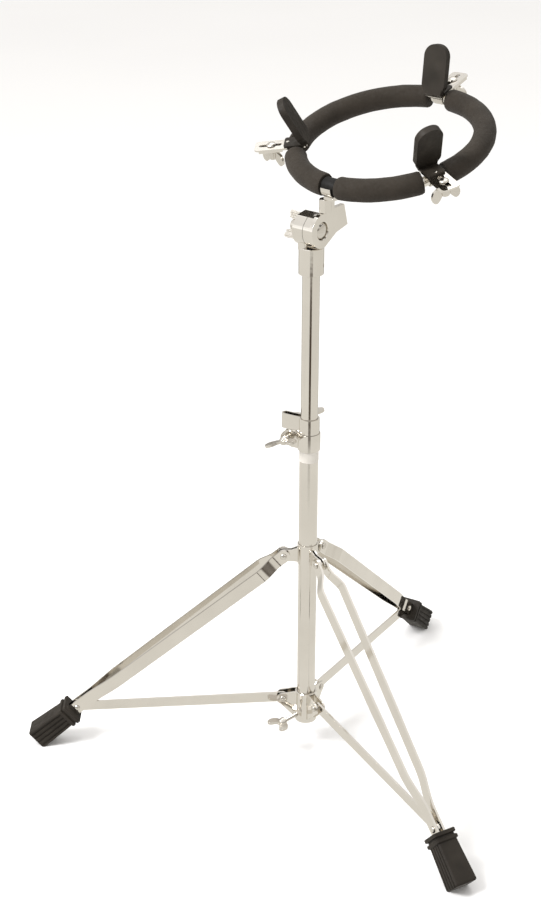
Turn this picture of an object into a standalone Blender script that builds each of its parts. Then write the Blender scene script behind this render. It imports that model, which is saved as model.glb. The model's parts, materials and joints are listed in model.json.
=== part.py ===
"""Double-braced tripod stand for a hand drum: telescoping mast, tilter, padded hoop and three claws.

Lengths in the tables and functions below are millimetres; MM turns them into metres when a mesh is made.
Z is up, the floor is z = 0, and the mast stands at x = MAST_X.
"""
import math

import bmesh
import bpy
from mathutils import Matrix, Vector

MM = 0.001
WELD = 2e-6
GAP = 0.3

# Mast and base
MAST_X = 81.026
TUBE_SIDES = 32
LOWER_TUBE_R = 12.7
LOWER_TUBE_BORE = 11.7
LOWER_TUBE_Z = (44.0, 470.0)
UPPER_TUBE_R = 11.4
UPPER_TUBE_BORE = 10.4
UPPER_TUBE_Z = (285.0, 744.0)
CLAMP_R = 15.0
CLAMP_Z = (463.6, 488.0)
CLAMP_HEADING = 155.0
CLAMP_BOLT_R = 30.0
LOCK_R = 13.8
LOCK_Z = (488.3, 509.0)
LOCK_HEADING = 150.0
LOCK_SCREW_HEADING = 95.0
LUG_REACH = 41.0

# Legs, each described in its own upright plane: distance from the mast axis, then height
LEG_HEADINGS = {"a": 180.0, "b": 60.0, "c": 300.0}
COLLAR_Z = (293.0, 323.0)
COLLAR_PIVOT = (33.0, 304.6)
LEG_SLOPE = 39.97
LEG_LENGTH = 381.8
STRAP_WIDTH = 18.0
STRAP_THICK = 3.0
STRAP_END = 414.0
STRAP_SPREAD = ((-10.0, 5.7), (12.0, 5.7), (40.0, 17.0), (305.0, 12.0), (355.0, 4.5), (420.0, 4.5))
HUB_Z = (41.0, 89.0)
HUB_R = 15.2
HUB_PIVOT = (32.8, 76.3)
HUB_BOLT_HEADING = 225.0
HUB_BOLT_Z = 55.0
BRACE_SLOPE = 3.3
BRACE_LENGTH = 254.0
BRACE_WIDTH = 15.0
RIVET_R = 2.0
RIVET_HOLE = 2.35
FOOT_END = 460.0

# Tilter: q runs along its axis (out to the right), p out towards the hoop, both level; z up
TILT_Z = 768.0
TILT_HEADING = -38.0
DRUM_R = 21.5
SLEEVE_R = 16.3
SLEEVE_Z = (709.0, 744.8)

# Hoop: its centre in (q, p, z), the rod circle, and the slope of its plane up and away from the mast
HOOP_CENTRE = (29.4, 124.5, 858.7)
HOOP_R = 121.2
HOOP_SLOPE = 16.2
CORE_R = 6.35
FOAM_R = 14.7
HOOP_SIDES = 10
CLAW_ANGLES = {"back": 90.0, "left": 210.0, "right": 330.0}
CLAW_NUT_TURNS = {"back": 90.0, "left": 40.0, "right": 90.0}
FOAM_SPANS = {"back_left": (97.5, 202.5, 14), "front_left": (217.5, 262.5, 6),
              "front_right": (272.5, 322.5, 7), "back_right": (337.5, 442.5, 14)}
SADDLE_ANGLE = 267.5

# Claws: distance from the hoop's centre, then height above its plane
CLAW_FOOT_N = (8.5, 10.5)
CLAW_BEND = 105.0
CLAW_TIP = 174.0
CLAW_SLOT = (138.5, 168.5)
CLAW_BOLT_RHO = 152.5
CLAW_LEAN = 21.9
PADDLE_LENGTH = 66.0


# ---------------------------------------------------------------- small geometry helpers

def arc(centre, radius, start, end, steps):
    """Points on an arc, angles in degrees, both ends included."""
    points = []
    for i in range(steps + 1):
        angle = math.radians(start + (end - start) * i / steps)
        points.append((centre[0] + radius * math.cos(angle), centre[1] + radius * math.sin(angle)))
    return points


def circle(centre, radius, sides):
    """Points around a whole circle."""
    return arc(centre, radius, 0.0, 360.0 - 360.0 / sides, sides - 1)


def shift(x, y, z):
    """Translation in millimetres."""
    return Matrix.Translation(Vector((x, y, z)) * MM)


def turn(degrees, axis):
    """Rotation in degrees about X, Y or Z."""
    return Matrix.Rotation(math.radians(degrees), 4, axis)


UPRIGHT = turn(90.0, "X")
MAST = shift(MAST_X, 0.0, 0.0)


def mast_frame(heading, z=0.0):
    """X points away from the mast at the given heading, Z up."""
    return MAST @ turn(heading, "Z") @ shift(0.0, 0.0, z)


def tilter_frame():
    """X along the tilter's axis (q), Y out towards the hoop (p), origin where the axis meets the mast."""
    return mast_frame(TILT_HEADING, TILT_Z)


def hoop_frame(angle=0.0):
    """Origin at the hoop's centre, X out through the given angle of the hoop, Z square to its plane."""
    q, p, z = HOOP_CENTRE
    plane = shift(q, p, z - TILT_Z) @ turn(HOOP_SLOPE, "X")
    return tilter_frame() @ plane @ turn(angle, "Z")


# ---------------------------------------------------------------- mesh makers, all returning a bmesh

def turned(profile, sides=TUBE_SIDES):
    """Solid of revolution about Z; the (radius, z) profile is a loop, or runs from axis to axis."""
    bm = bmesh.new()
    verts = [bm.verts.new((r * MM, 0.0, z * MM)) for r, z in profile]
    pairs = list(zip(verts, verts[1:]))
    if profile[0][0] > 0.0:
        pairs.append((verts[-1], verts[0]))
    edges = [bm.edges.new(pair) for pair in pairs]
    bmesh.ops.spin(bm, geom=verts + edges, axis=(0, 0, 1), cent=(0, 0, 0), angle=math.tau, steps=sides)
    bmesh.ops.remove_doubles(bm, verts=bm.verts, dist=WELD)
    return bm


def tube(outer, bore, z_low, z_high, sides=TUBE_SIDES):
    """Plain tube about Z."""
    return turned([(outer, z_low), (outer, z_high), (bore, z_high), (bore, z_low)], sides)


def rod(radius, z_low, z_high, sides=TUBE_SIDES):
    """Plain cylinder about Z."""
    return turned([(0.0, z_low), (radius, z_low), (radius, z_high), (0.0, z_high)], sides)


def slab(outline, thickness, holes=()):
    """Flat plate in XY with through holes, centred on z = 0."""
    curve = bpy.data.curves.new("outline", "CURVE")
    curve.dimensions = "2D"
    curve.fill_mode = "BOTH"
    curve.extrude = thickness * MM / 2
    for loop in (outline, *holes):
        spline = curve.splines.new("POLY")
        spline.points.add(len(loop) - 1)
        for point, (x, y) in zip(spline.points, loop):
            point.co = (x * MM, y * MM, 0.0, 1.0)
        spline.use_cyclic_u = True
    holder = bpy.data.objects.new("outline", curve)
    bpy.context.scene.collection.objects.link(holder)
    graph = bpy.context.evaluated_depsgraph_get()
    mesh = bpy.data.meshes.new_from_object(holder.evaluated_get(graph))
    bm = bmesh.new()
    bm.from_mesh(mesh)
    bpy.data.objects.remove(holder)
    bpy.data.curves.remove(curve)
    bpy.data.meshes.remove(mesh)
    bmesh.ops.remove_doubles(bm, verts=bm.verts, dist=WELD)
    return bm


def block(x_span, y_span, z_span):
    """Rectangular block."""
    bm = bmesh.new()
    size = [high - low for low, high in (x_span, y_span, z_span)]
    middle = [(high + low) / 2 for low, high in (x_span, y_span, z_span)]
    matrix = shift(*middle) @ Matrix.Diagonal((*(Vector(size) * MM), 1.0))
    bmesh.ops.create_cube(bm, size=1.0, matrix=matrix)
    return bm


def lofted(sections):
    """Solid through a row of matching (x, y, z) outlines."""
    bm = bmesh.new()
    first = face = bm.faces.new([bm.verts.new(Vector(point) * MM) for point in sections[0]])
    for section in sections[1:]:
        made = bmesh.ops.extrude_face_region(bm, geom=[face])["geom"]
        if face is not first:
            bmesh.ops.delete(bm, geom=[face], context="FACES_ONLY")
        face = next(item for item in made if isinstance(item, bmesh.types.BMFace))
        for loop, point in zip(face.loops, section):
            loop.vert.co = Vector(point) * MM
    return bm


def hoop_sleeve(outer, bore, start, end, steps):
    """Length of padded tube bent round the hoop, in the hoop's own frame."""
    bm = bmesh.new()
    section = turn(start, "Z") @ shift(HOOP_R, 0.0, 0.0) @ UPRIGHT
    for radius in (outer, bore):
        bmesh.ops.create_circle(bm, segments=HOOP_SIDES, radius=radius * MM, matrix=section)
    faces = bmesh.ops.bridge_loops(bm, edges=bm.edges)["faces"]
    geom = list(bm.verts) + list(bm.edges) + faces
    bmesh.ops.spin(bm, geom=geom, axis=(0, 0, 1), cent=(0, 0, 0), angle=math.radians(end - start), steps=steps)
    return bm


def hoop_rod(spans):
    """The whole bent rod of the hoop, with a station wherever the sleeves on it have one."""
    bm = bmesh.new()
    section = turn(spans[0][0], "Z") @ shift(HOOP_R, 0.0, 0.0) @ UPRIGHT
    bmesh.ops.create_circle(bm, segments=HOOP_SIDES, radius=CORE_R * MM, matrix=section)
    geom = list(bm.verts) + list(bm.edges)
    for start, end, steps in spans:
        angle = math.radians(end - start)
        made = bmesh.ops.spin(bm, geom=geom, axis=(0, 0, 1), cent=(0, 0, 0), angle=angle, steps=steps)
        geom = made["geom_last"]
    bmesh.ops.remove_doubles(bm, verts=bm.verts, dist=WELD)
    return bm


def moved(bm, matrix):
    """The same bmesh, moved."""
    bmesh.ops.transform(bm, matrix=matrix, verts=bm.verts)
    return bm


# ---------------------------------------------------------------- objects and materials

def clear_scene():
    for obj in list(bpy.data.objects):
        bpy.data.objects.remove(obj)


def collection(name, hidden):
    group = bpy.data.collections.new(name)
    bpy.context.scene.collection.children.link(group)
    group.hide_render = hidden
    return group


def material(name, colour, roughness, metallic):
    made = bpy.data.materials.new(name)
    made.use_nodes = True
    shader = made.node_tree.nodes["Principled BSDF"]
    shader.inputs["Base Color"].default_value = (*colour, 1.0)
    shader.inputs["Roughness"].default_value = roughness
    shader.inputs["Metallic"].default_value = metallic
    return made


clear_scene()
PARTS = collection("hand_drum_stand", False)
CUTTERS = collection("cutters", True)
CHROME = material("chrome", (0.78, 0.75, 0.70), 0.12, 1.0)
STEEL = material("plated_steel", (0.66, 0.64, 0.60), 0.25, 1.0)
RUBBER = material("rubber", (0.028, 0.024, 0.021), 0.75, 0.0)
FOAM = material("foam", (0.045, 0.039, 0.034), 0.95, 0.0)
NYLON = material("nylon", (0.03, 0.03, 0.03), 0.5, 0.0)


def shaded_mesh(name, bm):
    bmesh.ops.recalc_face_normals(bm, faces=bm.faces)
    mesh = bpy.data.meshes.new(name)
    bm.to_mesh(mesh)
    bm.free()
    mesh.shade_smooth()
    mesh.set_sharp_from_angle(angle=math.radians(30.0))
    return mesh


def piece(name, bm, frame, look):
    """One part of the stand; its origin is the frame's."""
    mesh = shaded_mesh(name, bm)
    mesh.materials.append(look)
    obj = bpy.data.objects.new(name, mesh)
    obj.matrix_world = frame
    PARTS.objects.link(obj)
    return obj


def copy_piece(source, name, frame):
    """Another part with the same mesh and modifiers."""
    obj = source.copy()
    obj.name = name
    obj.matrix_world = frame
    PARTS.objects.link(obj)
    return obj


def shape_with(obj, bm, operation, frame=None):
    """Join a body to a part or cut one out of it; the body is given in the part's frame unless told."""
    tool = bpy.data.objects.new(obj.name + "_" + operation.lower(), shaded_mesh(obj.name + "_tool", bm))
    tool.matrix_world = obj.matrix_world if frame is None else frame
    tool.hide_render = True
    tool.display_type = "WIRE"
    CUTTERS.objects.link(tool)
    step = obj.modifiers.new(operation.title(), "BOOLEAN")
    step.operation = operation
    step.object = tool
    step.solver = "EXACT"
    return tool


def join(obj, bm, frame=None):
    return shape_with(obj, bm, "UNION", frame)


def cut(obj, bm, frame=None):
    return shape_with(obj, bm, "DIFFERENCE", frame)


# ---------------------------------------------------------------- fasteners

def wing_outline(half_width, height, base, root=0.0):
    """Two rounded lobes rising from z = base; with a root, only the right-hand lobe, from x = root out."""
    lobe = [(0.22, 0.0), (0.62, 0.10), (0.90, 0.32), (1.0, 0.60), (0.90, 0.90), (0.68, 1.0), (0.44, 0.84)]
    right = [(x * half_width, base + z * height) for x, z in lobe]
    if root > 0.0:
        return [(root, base)] + right[1:] + [(root, base + 0.5 * height)]
    right.append((0.20 * half_width, base + 0.46 * height))
    return right + [(-x, z) for x, z in reversed(right)]


def wing_plate(outline, thickness):
    """The lobes as a plate in the XZ plane."""
    return moved(slab(outline, thickness), UPRIGHT)


def wing_bolt(name, frame, radius, tip, boss, half_width, height):
    """Bolt along Z from z = tip up to its boss, which starts at z = boss and carries the wings."""
    profile = [(0.0, tip), (radius, tip), (radius, boss), (radius + 3.2, boss), (radius + 2.6, boss + 6.0),
               (radius + 0.6, boss + 9.0), (0.0, boss + 9.5)]
    obj = piece(name, turned(profile, 16), frame, STEEL)
    join(obj, wing_plate(wing_outline(half_width, height, boss + 2.0), 3.2))
    return obj


def wing_nut(name, frame, bore, depth, half_width, height, thick=3.2):
    """Cap nut along Z from z = 0, with a blind bore and two wings."""
    top = depth + 3.0
    profile = [(bore, 0.0), (bore + 4.2, 0.0), (bore + 3.2, top - 2.0), (bore + 0.6, top), (0.0, top),
               (0.0, depth), (bore, depth)]
    bm = turned_cap(profile)
    obj = piece(name, bm, frame, STEEL)
    lobe = wing_outline(half_width, height, 1.0, bore + 1.2)
    join(obj, wing_plate(lobe, thick))
    join(obj, moved(wing_plate(lobe, thick), turn(180.0, "Z")))
    return obj


def turned_cap(profile):
    """Solid of revolution whose open (radius, z) profile starts and ends on the bore, crossing the axis."""
    bm = bmesh.new()
    verts = [bm.verts.new((r * MM, 0.0, z * MM)) for r, z in profile]
    pairs = list(zip(verts, verts[1:])) + [(verts[-1], verts[0])]
    edges = [bm.edges.new((a, b)) for a, b in pairs if a.co.x > 0.0 or b.co.x > 0.0]
    bmesh.ops.spin(bm, geom=verts + edges, axis=(0, 0, 1), cent=(0, 0, 0), angle=math.tau, steps=16)
    bmesh.ops.remove_doubles(bm, verts=bm.verts, dist=WELD)
    return bm


def rivet_mesh(inner_face, spacer=None):
    """Rivet along Y with a domed head outside each inner face, and collars either side of a middle plate."""
    half = [(RIVET_R, inner_face), (4.4, inner_face), (4.0, inner_face + 1.0), (2.4, inner_face + 1.9),
            (0.0, inner_face + 2.1)]
    if spacer is not None:
        start, end = spacer
        half = [(RIVET_R, start), (3.6, start), (3.6, end), (RIVET_R, end)] + half
    profile = [(r, -z) for r, z in reversed(half)] + half
    return moved(turned(profile, 12), UPRIGHT)


# ---------------------------------------------------------------- tripod

def build_lower_tube():
    piece("lower_tube", tube(LOWER_TUBE_R, LOWER_TUBE_BORE, *LOWER_TUBE_Z), MAST, CHROME)


def ear(outline, hole, y_span):
    """Upright plate of a bracket, lying between two distances from the leg's middle plane."""
    plate = slab(outline, y_span[1] - y_span[0], [circle(hole, RIVET_HOLE, 12)])
    return moved(plate, shift(0.0, sum(y_span) / 2, 0.0) @ UPRIGHT)


def build_leg_collar():
    collar = piece("leg_collar", tube(14.2, LOWER_TUBE_R + GAP, *COLLAR_Z), MAST, CHROME)
    r, z = COLLAR_PIVOT
    outline = [(13.2, z - 8.5)] + arc((r, z), 8.5, -90.0, 90.0, 8) + [(13.2, z + 8.5)]
    for name, heading in LEG_HEADINGS.items():
        for y_span in ((1.4, 3.9), (-3.9, -1.4)):
            join(collar, ear(outline, (r, z), y_span), mast_frame(heading))
    rivet = None
    for name, heading in LEG_HEADINGS.items():
        frame = mast_frame(heading) @ shift(r, 0.0, z)
        if rivet is None:
            rivet = piece("collar_rivet_" + name, rivet_mesh(7.5), frame, STEEL)
        else:
            copy_piece(rivet, "collar_rivet_" + name, frame)


def leg_frame(heading):
    """Origin on the collar rivet, X down the leg, Y across it."""
    r, z = COLLAR_PIVOT
    return mast_frame(heading) @ shift(r, 0.0, z) @ turn(LEG_SLOPE, "Y")


def strap_mesh(side):
    """One of a leg's two straps: rounded round its rivet, joggled out, then closing in to the foot."""
    half = STRAP_WIDTH / 2
    outline = arc((0.0, 0.0), half, 90.0, 270.0, 8) + [(STRAP_END, -half), (STRAP_END, half)]
    holes = [circle((0.0, 0.0), RIVET_HOLE, 12), circle((LEG_LENGTH, 0.0), RIVET_HOLE, 12)]
    bm = moved(slab(outline, STRAP_THICK, holes), UPRIGHT)
    for x, _ in STRAP_SPREAD[1:-1]:
        geom = list(bm.verts) + list(bm.edges) + list(bm.faces)
        bmesh.ops.bisect_plane(bm, geom=geom, dist=WELD, plane_co=(x * MM, 0, 0), plane_no=(1, 0, 0))
    for vert in bm.verts:
        vert.co.y += side * spread_at(vert.co.x / MM) * MM
    return bm


def spread_at(x):
    """How far a strap's middle stands off the leg's middle plane at a distance down the leg."""
    for (x0, y0), (x1, y1) in zip(STRAP_SPREAD, STRAP_SPREAD[1:]):
        if x <= x1:
            return y0 + (y1 - y0) * (x - x0) / (x1 - x0)
    return STRAP_SPREAD[-1][1]


def foot_section(x, half, groove):
    """Outline across a rubber foot, with four grooves of the given depth down each side."""
    pitch = 2 * half / 9
    flank = [(half, 0.0)]
    for i in range(4):
        top = half - (2 * i + 1) * pitch
        flank += [(top, 0.0), (top - 0.4, groove), (top - pitch + 0.4, groove), (top - pitch, 0.0)]
    flank.append((-half, 0.0))
    right = [(x, half - inset, z) for z, inset in flank]
    left = [(x, inset - half, -z) for z, inset in flank]
    return right + left


def foot_mesh():
    """Rubber foot: two flanges, then a slightly flared grooved block."""
    rings = [(388.8, 16.2, 0.0), (394.0, 16.2, 0.0), (394.4, 13.8, 0.0), (397.0, 13.8, 0.0),
             (397.4, 16.2, 0.0), (402.0, 16.2, 0.0), (402.4, 14.2, 1.5), (FOOT_END, 16.0, 1.5)]
    return lofted([foot_section(x, half, groove) for x, half, groove in rings])


def build_legs():
    """Three legs of two straps each, their feet and the rivets that hold the braces."""
    first = {}
    for name, heading in LEG_HEADINGS.items():
        frame = leg_frame(heading)
        if not first:
            first["left"] = piece("leg_strap_a_left", strap_mesh(1), frame, CHROME)
            first["right"] = piece("leg_strap_a_right", strap_mesh(-1), frame, CHROME)
            first["foot"] = build_foot(frame)
            rivet = rivet_mesh(6.3)
            first["rivet"] = piece("foot_rivet_a", rivet, frame @ shift(LEG_LENGTH, 0.0, 0.0), STEEL)
            continue
        copy_piece(first["left"], "leg_strap_" + name + "_left", frame)
        copy_piece(first["right"], "leg_strap_" + name + "_right", frame)
        copy_piece(first["rivet"], "foot_rivet_" + name, frame @ shift(LEG_LENGTH, 0.0, 0.0))
        build_foot(frame, name)


def build_foot(frame, name="a"):
    """Foot with a pocket for the two straps and a flat ground where it meets the floor."""
    foot = piece("rubber_foot_" + name, foot_mesh(), frame, RUBBER)
    cut(foot, block((380.0, STRAP_END + 0.5), (-6.3, 6.3), (-9.3, 9.3)))
    floor = block((-600.0, 600.0), (-600.0, 600.0), (-50.0, 0.0))
    cut(foot, floor, MAST)
    return foot


def build_hub():
    """Sliding hub: a ring low on the tube with three pairs of ears."""
    hub = piece("brace_hub", tube(HUB_R, LOWER_TUBE_R + GAP, *HUB_Z), MAST, CHROME)
    r, z = HUB_PIVOT
    outline = [(13.0, 47.0), (18.0, 50.0), (36.0, z - 7.6)]
    outline += arc((r, z), 8.5, -60.0, 90.0, 7)
    outline += [(13.0, 88.0)]
    for heading in LEG_HEADINGS.values():
        for y_span in ((4.6, 7.1), (-7.1, -4.6)):
            join(hub, ear(outline, (r, z), y_span), mast_frame(heading))
    bolt_frame = mast_frame(HUB_BOLT_HEADING, HUB_BOLT_Z) @ turn(90.0, "Y")
    join(hub, rod(6.5, 14.2, 21.0, 16), bolt_frame)
    cut(hub, rod(3.3, 8.0, 30.0, 16), bolt_frame)
    wing_bolt("hub_wing_bolt", bolt_frame @ turn(90.0, "Z"), 3.0, 13.1, 44.0, 16.0, 18.0)


def build_braces():
    """Three flat stays, each turning on a hub rivet."""
    half = BRACE_WIDTH / 2
    outline = arc((0.0, 0.0), half, 90.0, 270.0, 8) + arc((BRACE_LENGTH - half, 0.0), half, -90.0, 90.0, 8)
    r, z = HUB_PIVOT
    brace = rivet = None
    for name, heading in LEG_HEADINGS.items():
        pivot = mast_frame(heading) @ shift(r, 0.0, z)
        frame = pivot @ turn(BRACE_SLOPE, "Y")
        if brace is None:
            plate = slab(outline, 3.0, [circle((0.0, 0.0), RIVET_HOLE, 12)])
            brace = piece("brace_" + name, moved(plate, UPRIGHT), frame, CHROME)
            rivet = piece("hub_rivet_" + name, rivet_mesh(7.4, (1.8, 4.3)), pivot, STEEL)
            continue
        copy_piece(brace, "brace_" + name, frame)
        copy_piece(rivet, "hub_rivet_" + name, pivot)


# ---------------------------------------------------------------- mast

def build_height_clamp():
    """Split ring on top of the lower tube, drawn shut by a wing bolt through its two ears."""
    bore = UPPER_TUBE_R + 0.4
    slot_half = 1.6
    ear_half = 4.6
    outer_angle = math.degrees(math.asin(ear_half / CLAMP_R))
    bore_angle = math.degrees(math.asin(slot_half / bore))
    outline = arc((0.0, 0.0), CLAMP_R, outer_angle, 360.0 - outer_angle, 28)
    outline += [(LUG_REACH, -ear_half), (LUG_REACH, -slot_half)]
    outline += arc((0.0, 0.0), bore, 360.0 - bore_angle, bore_angle, 28)
    outline += [(LUG_REACH, slot_half), (LUG_REACH, ear_half)]
    low, high = CLAMP_Z
    frame = mast_frame(CLAMP_HEADING, (low + high) / 2)
    clamp = piece("height_clamp", slab(outline, high - low), frame, CHROME)
    cut(clamp, rod(LOWER_TUBE_R + GAP, low - 10.0, LOWER_TUBE_Z[1] + GAP), MAST)
    bolt_frame = frame @ shift(CLAMP_BOLT_R, 0.0, 0.0) @ turn(-90.0, "X")
    cut(clamp, rod(3.3, -12.0, 12.0, 16), bolt_frame)
    wing_bolt("height_wing_bolt", bolt_frame @ turn(18.0, "Z"), 3.0, -8.0, 12.0, 23.0, 18.0)


def build_memory_lock():
    """Ring clamped on the upper tube, with a hollow lug, resting on the height clamp."""
    bore = UPPER_TUBE_R + 0.4
    outer_half = 5.6
    inner_half = 3.6
    lug_end = LUG_REACH - outer_half
    outer_angle = math.degrees(math.asin(outer_half / LOCK_R))
    inner_angle = math.degrees(math.asin(inner_half / bore))
    outline = arc((0.0, 0.0), LOCK_R, outer_angle, 360.0 - outer_angle, 24)
    outline += arc((lug_end, 0.0), outer_half, -90.0, 90.0, 8)
    hole = arc((0.0, 0.0), bore, inner_angle, 360.0 - inner_angle, 24)
    hole += arc((lug_end, 0.0), inner_half, -90.0, 90.0, 8)
    low, high = LOCK_Z
    middle = (low + high) / 2
    lock = piece("memory_lock", slab(outline, high - low, [hole]), mast_frame(LOCK_HEADING, middle), CHROME)
    screw_frame = mast_frame(LOCK_SCREW_HEADING, middle + 3.0) @ turn(90.0, "Y")
    cut(lock, rod(2.6, 6.0, 20.0, 12), screw_frame)
    wing_bolt("memory_wing_screw", screw_frame @ turn(80.0, "Z"), 2.3, 12.0, 21.0, 24.0, 16.0)


def build_upper_tube():
    piece("upper_tube", tube(UPPER_TUBE_R, UPPER_TUBE_BORE, *UPPER_TUBE_Z), MAST, CHROME)
    bottom = UPPER_TUBE_Z[0]
    spigot = UPPER_TUBE_BORE - GAP
    profile = [(0.0, bottom - 9.0), (UPPER_TUBE_R, bottom - 9.0), (UPPER_TUBE_R, bottom - GAP),
               (spigot, bottom - GAP), (spigot, bottom + 14.0), (0.0, bottom + 14.0)]
    piece("mast_end_plug", turned(profile, TUBE_SIDES), MAST, NYLON)


# ---------------------------------------------------------------- tilter

ALONG_Q = turn(90.0, "Y")


def build_tilter_base():
    """One casting: the sleeve over the upper tube and the left half of the tilter's drum."""
    frame = mast_frame(TILT_HEADING, TILT_Z)
    low, high = (z - TILT_Z for z in SLEEVE_Z)
    base = piece("tilter_base", moved(rod(DRUM_R, -15.0, 1.0), ALONG_Q), frame, CHROME)
    join(base, rod(SLEEVE_R, low, high))
    join(base, block((-13.0, 0.8), (-14.0, 14.0), (high - 3.0, -6.0)))
    cut(base, rod(UPPER_TUBE_R + GAP, low - 5.0, UPPER_TUBE_Z[1] - TILT_Z + GAP))
    cut(base, moved(rod(4.5, -20.0, 5.0, 16), ALONG_Q))
    screw_frame = mast_frame(-12.0, 721.0) @ turn(90.0, "Y")
    cut(base, rod(2.6, 8.0, 20.0, 12), screw_frame)
    piece("set_screw", rod(2.3, UPPER_TUBE_R + 0.3, 14.6, 12), screw_frame, STEEL)


def build_tilter_arm():
    """Right half of the drum with the plate that reaches out and up to the hoop."""
    frame = mast_frame(TILT_HEADING, TILT_Z)
    outline = arc((0.0, 0.0), DRUM_R + 0.8, 90.0, 285.0, 16)
    outline += [(29.0, -8.5), (53.0, -3.5), (45.0, 25.0), (24.0, 25.0), (24.0, 42.6), (17.0, 42.6),
                (17.0, DRUM_R + 0.8)]
    to_plate = Matrix(((0, 0, 1, 0), (1, 0, 0, 0), (0, 1, 0, 0), (0, 0, 0, 1)))
    plate = moved(slab(outline, 6.0), shift(14.5, 0.0, 0.0) @ to_plate)
    arm = piece("tilter_arm", plate, frame, CHROME)
    join(arm, moved(rod(DRUM_R, 1.3, 12.5), ALONG_Q))
    cut(arm, moved(rod(11.4, 12.7, 20.0, 24), ALONG_Q))
    cut(arm, moved(rod(4.5, -2.0, 20.0, 16), ALONG_Q))
    head = [(0.0, -27.0), (4.0, -27.0), (4.0, 13.0), (10.8, 13.0), (10.8, 15.4), (9.2, 16.6), (0.0, 17.0)]
    piece("tilter_bolt", moved(turned(head, 16), ALONG_Q), frame, STEEL)
    nut_frame = frame @ shift(-15.4, 0.0, 0.0) @ turn(-90.0, "Y") @ turn(24.5, "Z")
    wing_nut("tilter_wing_nut", nut_frame, 4.4, 12.0, 17.0, 20.0, 6.0)


def build_saddle():
    """Post on the arm and the half-pipe seat that the hoop's rod is held in."""
    frame = mast_frame(TILT_HEADING, TILT_Z)
    piece("saddle_post", rod(7.6, DRUM_R + 0.8 + GAP, 40.0, 20), frame @ shift(14.8, 7.5, 0.0), CHROME)
    outline = arc((0.0, 0.0), 13.5, 180.0, 360.0, 14) + arc((0.0, 0.0), 11.5, 360.0, 180.0, 14)
    seat_frame = hoop_frame(SADDLE_ANGLE) @ shift(HOOP_R, 0.0, 0.0)
    level = turn(-HOOP_SLOPE, "Y")
    seat = piece("hoop_saddle", moved(slab(outline, 15.0), UPRIGHT), seat_frame @ level, CHROME)
    join(seat, block((-6.0, 6.5), (-7.3, 7.3), (-16.6, -12.4)))
    liner = hoop_sleeve(11.0, CORE_R + GAP, 263.3, 271.7, 2)
    piece("saddle_liner", liner, hoop_frame(), RUBBER)


# ---------------------------------------------------------------- hoop and claws

def build_hoop():
    """Bent rod with four lengths of foam sleeve; the gaps are for the saddle and the claws."""
    order = ["back_right", "back_left", "front_left", "front_right"]
    starts = [FOAM_SPANS[key][0] - 360.0 * (key == "back_right") for key in order]
    ends = [FOAM_SPANS[key][1] - 360.0 * (key == "back_right") for key in order]
    spans = []
    for i, key in enumerate(order):
        spans.append((starts[i], ends[i], FOAM_SPANS[key][2]))
        next_start = starts[(i + 1) % 4] + (360.0 if i == 3 else 0.0)
        spans.append((ends[i], next_start, 2))
    piece("hoop_core", hoop_rod(spans), hoop_frame(), CHROME)
    for key, (start, end, steps) in FOAM_SPANS.items():
        piece("foam_sleeve_" + key, hoop_sleeve(FOAM_R, CORE_R + 0.4, start, end, steps), hoop_frame(), FOAM)


def paddle_outline(neck, half_width, length, drop=0.0):
    """Paddle seen square on: a neck that clears the foam, then a wider blade with a rounded top."""
    shoulder = 14.0
    corner = half_width - 1.2
    right = [(neck, -drop), (neck, 8.0), (half_width, shoulder)]
    right += arc((half_width - corner, length - corner), corner, 0.0, 90.0, 6)
    left = [(-x, y) for x, y in reversed(right)]
    return right + left


def paddle_frame():
    """In a claw's frame: X across the blade, Y up it, leaning away from the hoop's centre."""
    stand = Matrix(((0, 0, 1, 0), (1, 0, 0, 0), (0, 1, 0, 0), (0, 0, 0, 1)))
    return shift(CLAW_BEND, 0.0, CLAW_FOOT_N[0] + 1.0) @ turn(CLAW_LEAN, "Y") @ stand


def claw_bracket():
    """Slotted foot plate and the leaning blade bent up from its inner end."""
    low, high = CLAW_FOOT_N
    foot = [(CLAW_BEND, -12.0), (CLAW_TIP - 5.0, -12.0), (CLAW_TIP, -7.0), (CLAW_TIP, 7.0),
            (CLAW_TIP - 5.0, 12.0), (CLAW_BEND, 12.0)]
    start, end = CLAW_SLOT
    slot = arc((start + 3.0, 0.0), 3.0, 90.0, 270.0, 6) + arc((end - 3.0, 0.0), 3.0, -90.0, 90.0, 6)
    return moved(slab(foot, high - low, [slot]), shift(0.0, 0.0, (low + high) / 2))


def claw_clip_mesh():
    """Band round the hoop's rod with its flange running out under the claw's foot."""
    band = 8.2
    lip = 5.0
    start = math.degrees(math.asin(lip / band))
    outline = arc((0.0, 0.0), band, 90.0, 360.0 + start, 14)
    outline += [(46.8, lip), (46.8, band)]
    bm = slab(outline, 14.0, [circle((-0.23, 0.0), CORE_R + 0.55, 16)])
    return moved(bm, shift(HOOP_R, 0.0, 0.0) @ UPRIGHT)


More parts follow.
